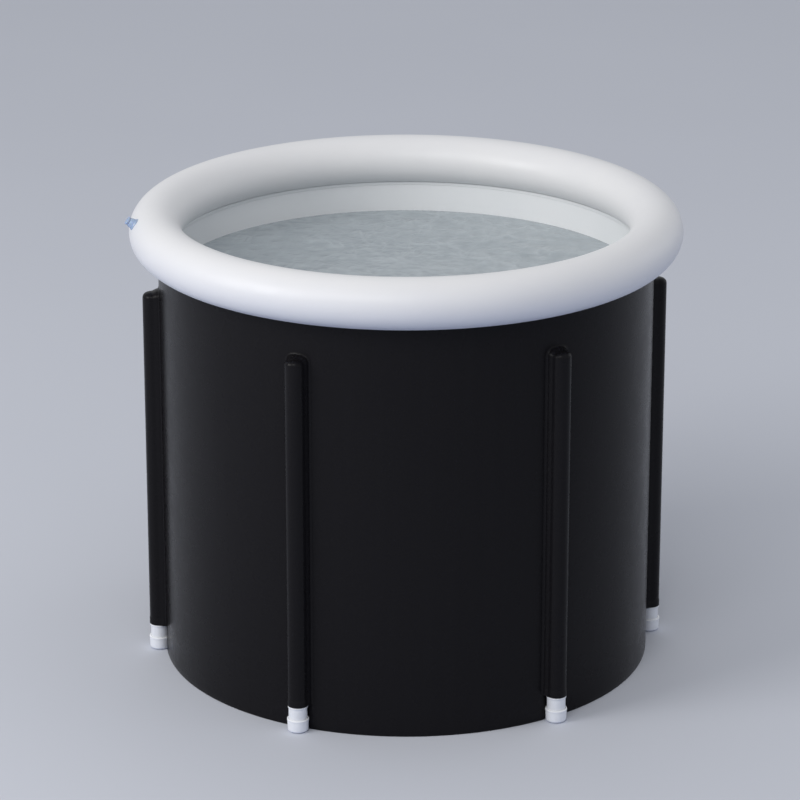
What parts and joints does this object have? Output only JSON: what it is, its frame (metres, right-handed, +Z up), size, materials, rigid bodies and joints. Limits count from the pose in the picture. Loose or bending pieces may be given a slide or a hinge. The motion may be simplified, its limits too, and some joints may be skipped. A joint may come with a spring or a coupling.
{
  "type": "inflatable bathtub",
  "caption": "Round portable soaking tub: a foam-lined black barrel held up by poles in outside sleeves, with an inflated ring around the rim, a white liner and a drain low at the back.",
  "frame": {"origin": "on the floor, where the barrel's axis meets the underside of the base", "axes": "+Z up along the barrel's axis, -Y towards the front, +X to the right seen from the front"},
  "size_m": [0.8442, 0.8412, 0.7157],
  "materials": {
    "black_pvc": "satin",
    "white_pvc": "satin",
    "liner_pvc": "satin",
    "foam": "matte",
    "white_plastic": "satin",
    "blue_vinyl": "gloss",
    "black_rubber": "matte",
    "dark_plastic": "satin"
  },
  "bodies": {
    "tub": {"outer_shell": "black_pvc", "foam_wall": "foam", "inner_liner": "liner_pvc", "foam_base": "foam", "base_sheet": "black_pvc", "air_ring": "white_pvc", "ring_weld_band": "white_pvc", "air_valve_body": "blue_vinyl", "drain_spout": "dark_plastic", "drain_gasket": "black_rubber", "drain_nut": "dark_plastic", "pole_sleeve_1": "black_pvc", "pole_sleeve_2": "black_pvc", "pole_sleeve_3": "black_pvc", "pole_sleeve_4": "black_pvc", "pole_sleeve_5": "black_pvc", "pole_sleeve_6": "black_pvc"},
    "pole_unit_1": {"pole_1": "white_plastic", "pole_cap_1": "white_plastic", "pole_foot_1": "white_plastic"},
    "pole_unit_2": {"pole_2": "white_plastic", "pole_cap_2": "white_plastic", "pole_foot_2": "white_plastic"},
    "pole_unit_3": {"pole_3": "white_plastic", "pole_cap_3": "white_plastic", "pole_foot_3": "white_plastic"},
    "pole_unit_4": {"pole_4": "white_plastic", "pole_cap_4": "white_plastic", "pole_foot_4": "white_plastic"},
    "pole_unit_5": {"pole_5": "white_plastic", "pole_cap_5": "white_plastic", "pole_foot_5": "white_plastic"},
    "pole_unit_6": {"pole_6": "white_plastic", "pole_cap_6": "white_plastic", "pole_foot_6": "white_plastic"},
    "valve_plug": {"air_valve_plug": "blue_vinyl"},
    "valve_flap": {"air_valve_flap": "blue_vinyl"},
    "drain_closure": {"drain_cap": "dark_plastic"}
  },
  "joints": [
    {"name": "pole_1_pull_out", "type": "slide", "parent": "tub", "child": "pole_unit_1", "axis": [0, 0, -1], "range_m": [0, 0.55]},
    {"name": "pole_2_pull_out", "type": "slide", "parent": "tub", "child": "pole_unit_2", "axis": [0, 0, -1], "range_m": [0, 0.55]},
    {"name": "pole_3_pull_out", "type": "slide", "parent": "tub", "child": "pole_unit_3", "axis": [0, 0, -1], "range_m": [0, 0.55]},
    {"name": "pole_4_pull_out", "type": "slide", "parent": "tub", "child": "pole_unit_4", "axis": [0, 0, -1], "range_m": [0, 0.55]},
    {"name": "pole_5_pull_out", "type": "slide", "parent": "tub", "child": "pole_unit_5", "axis": [0, 0, -1], "range_m": [0, 0.55]},
    {"name": "pole_6_pull_out", "type": "slide", "parent": "tub", "child": "pole_unit_6", "axis": [0, 0, -1], "range_m": [0, 0.55]},
    {"name": "valve_plug_pull", "type": "slide", "parent": "tub", "child": "valve_plug", "axis": [-0.8225, -0.1215, 0.5556], "range_m": [0, 0.012]},
    {"name": "valve_flap_swing", "type": "hinge", "parent": "tub", "child": "valve_flap", "pos_m": [-0.39906, -0.05893, 0.69878], "axis": [0.1461, -0.9893, 0], "range_deg": [0, 60], "stiffness_Nm_per_rad": 0.00005, "springref_deg": -17.19},
    {"name": "drain_cap_pull", "type": "slide", "parent": "tub", "child": "drain_closure", "axis": [-0.0958, 0.9954, 0], "range_m": [0, 0.02]}
  ]
}
